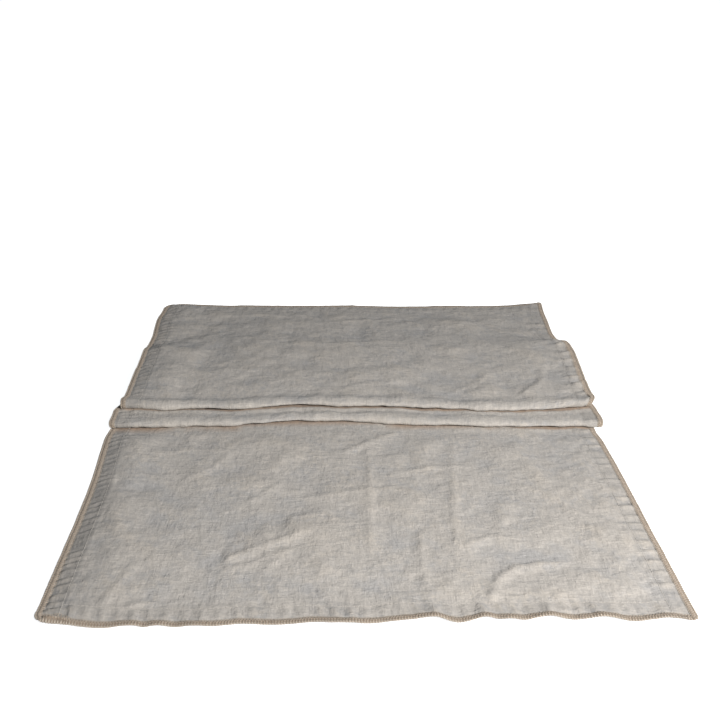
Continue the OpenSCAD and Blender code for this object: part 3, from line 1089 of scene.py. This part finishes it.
LINEN = linen("washed_linen", (0.422, 0.398, 0.367))
HEM_LINEN = linen("turned_hem_linen", (0.405, 0.385, 0.355))
HEM_THREAD = thread_material("hem_stitch_thread", (0.56, 0.53, 0.485), (0.4, 0.37, 0.33), 0.9)
UPPER_THREAD = thread_material("upper_looper_thread", (0.57, 0.485, 0.39),
                               (0.22, 0.17, 0.125), 0.7)
# Painted light: the lower looper is the same thread as the upper one, made paler where it comes
# round the edge and faces the lamp
LOWER_THREAD_PAINTED_LIGHT = thread_material("lower_looper_thread_painted_light", (0.68, 0.61, 0.51),
                               (0.36, 0.3, 0.235), 0.7)
NEEDLE_THREAD = thread_material("overlock_needle_thread", (0.55, 0.48, 0.39),
                                (0.36, 0.3, 0.23), 0.9)
SIDES = ("left", "right")
ENDS = ("front", "back")


def declare(piece, node):
    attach(piece, "root")
    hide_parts(node)
    return piece


def make_hem(edge):
    """The turned cloth under one edge, with a channel for the bobbin thread."""
    inner, outer = HALF_W - HEM_W, HALF_W - BORDER_W - GAP
    if edge in SIDES:
        columns = within(abs(cloth.u[cloth.u > 0]), inner, outer)
        columns = columns if edge == "right" else -columns[::-1]
        rows = within(cloth.w, BORDER_W + GAP, CLOTH_L - BORDER_W - GAP)
        channel = bump(abs(columns) - (HALF_W - STITCH_IN), 0.8)[:, None]
    else:
        columns = within(cloth.u, -(inner - GAP), inner - GAP)
        rows = within(cloth.w[cloth.w < CLOTH_L / 2], BORDER_W + GAP, HEM_W)
        rows = rows if edge == "back" else CLOTH_L - rows[::-1]
        channel = bump(np.minimum(rows, CLOTH_L - rows) - STITCH_IN, 0.8)[None, :]
    bottom = HEM_BOTTOM + 0.22 * channel
    return make_slab(edge + "_hem_cloth", columns, rows, HEM_TOP, bottom, HEM_LINEN)


panel = declare(make_panel(LINEN), "linen_panel")
for edge in SIDES + ENDS:
    on_side = edge in SIDES
    top_inset = BORDER_W + 0.9 if on_side else STITCH_IN + 0.5
    bobbin_inset = top_inset if on_side else HEM_W + 0.6
    loops_inset = 0.6 if on_side else BORDER_W + GAP
    made = (
        ("_hem", "hem_linen", make_hem(edge)),
        ("_hem_top_thread", "hem_thread",
         stitch_row(edge, "_hem_top_stitches", top_inset, STITCH_IN, STITCH_PITCH, TOP_R,
                    HEM_THREAD)),
        ("_hem_bobbin_thread", "hem_thread",
         stitch_row(edge, "_hem_bobbin_stitches", bobbin_inset, STITCH_IN, STITCH_PITCH,
                    BOBBIN_R, HEM_THREAD, below=True)),
        ("_overlock_upper_looper", "overlock_thread",
         looper(edge, "_upper_looper_loops", loops_inset, UPPER_WAY, UPPER_R, UPPER_THREAD)),
        ("_overlock_lower_looper", "overlock_thread",
         looper(edge, "_lower_looper_loops", loops_inset, LOWER_WAY, LOWER_R, LOWER_THREAD_PAINTED_LIGHT)),
        ("_overlock_needle_thread", "overlock_needle_thread",
         stitch_row(edge, "_overlock_needle_stitches", BORDER_W + 0.4, BORDER_W + 0.3,
                    OVERLOCK_PITCH, NEEDLE_R, NEEDLE_THREAD, beside_border=True)),
    )
    for node, slot, piece in made:
        declare(piece, edge + node)


# --- The stage, the lights and the camera ---

TABLE_REACH = 40.0
TABLE_GLOW = 0.9
SKY = (0.78, 0.88, 1.0, 1)
SKY_STRENGTH = 0.15
# The camera's place, its pitch down, yaw and roll in degrees, and its lens and film in mm
CAMERA_PLACE = (-0.0281, -0.9041, 0.4991)
CAMERA_TURN = (25.409, 1.876, 0.643)
LENS, FILM_W = 50, 36


def make_floor():
    """A pale table top, with extra white for the camera alone."""
    mesh = bpy.data.meshes.new("table_top")
    far = TABLE_REACH
    mesh.from_pydata([(-far, -far, 0), (far, -far, 0), (far, far, 0), (-far, far, 0)], [],
                     [(0, 1, 2, 3)])
    k = Surface("pale_table", (0.9, 0.9, 0.9), 0.95, 0.0)
    k.set("Specular IOR Level", 0.0)
    k.set("Emission Color", (1, 1, 1, 1))
    seen = k.node("LightPath").outputs["Is Camera Ray"]
    k.set("Emission Strength", k.times(seen, TABLE_GLOW))
    mesh.materials.append(k.material)
    add_object("table_top", mesh)


def make_world():
    """White to the camera, and a dim even light on the cloth."""
    world = bpy.data.worlds.new("studio")
    bpy.context.scene.world = world
    k = Nodes(world)
    seen = k.tree.nodes["Background"]
    k.feed(seen.inputs[0], (1, 1, 1, 1))
    lit = k.node("Background", SKY, SKY_STRENGTH)
    camera_ray = k.node("LightPath").outputs["Is Camera Ray"]
    both = k.node("MixShader", camera_ray, lit.outputs[0], seen.outputs[0])
    k.feed(k.tree.nodes["World Output"].inputs[0], both.outputs[0])


def make_light(name, place, aim, size, power, colour):
    light = bpy.data.lights.new(name, "AREA")
    light.shape = "DISK"
    light.size = size
    light.energy = power
    light.color = colour
    lamp = add_object(name, light)
    lamp.location = place
    lamp.rotation_mode = "QUATERNION"
    lamp.rotation_quaternion = (Vector(aim) - Vector(place)).to_track_quat("-Z", "Y")
    lamp.visible_camera = False


def make_camera():
    """A camera in front of the runner, looking down its length."""
    pitch, yaw, roll = (math.radians(a) for a in CAMERA_TURN)
    camera = add_object("camera", bpy.data.cameras.new("camera"))
    camera.data.lens = LENS
    camera.data.sensor_width = FILM_W
    camera.data.clip_start = 0.01
    turn = (Matrix.Rotation(-yaw, 4, "Z") @ Matrix.Rotation(math.pi / 2 - pitch, 4, "X")
            @ Matrix.Rotation(roll, 4, "Z"))
    camera.matrix_world = Matrix.Translation(CAMERA_PLACE) @ turn
    bpy.context.scene.camera = camera


make_floor()
make_world()
make_light("key", (0.66, -1.04, 0.8), (0.14, -0.16, 0), 0.3, 28.8, (1.0, 0.975, 0.955))
make_camera()
bpy.context.scene.view_settings.view_transform = "Standard"
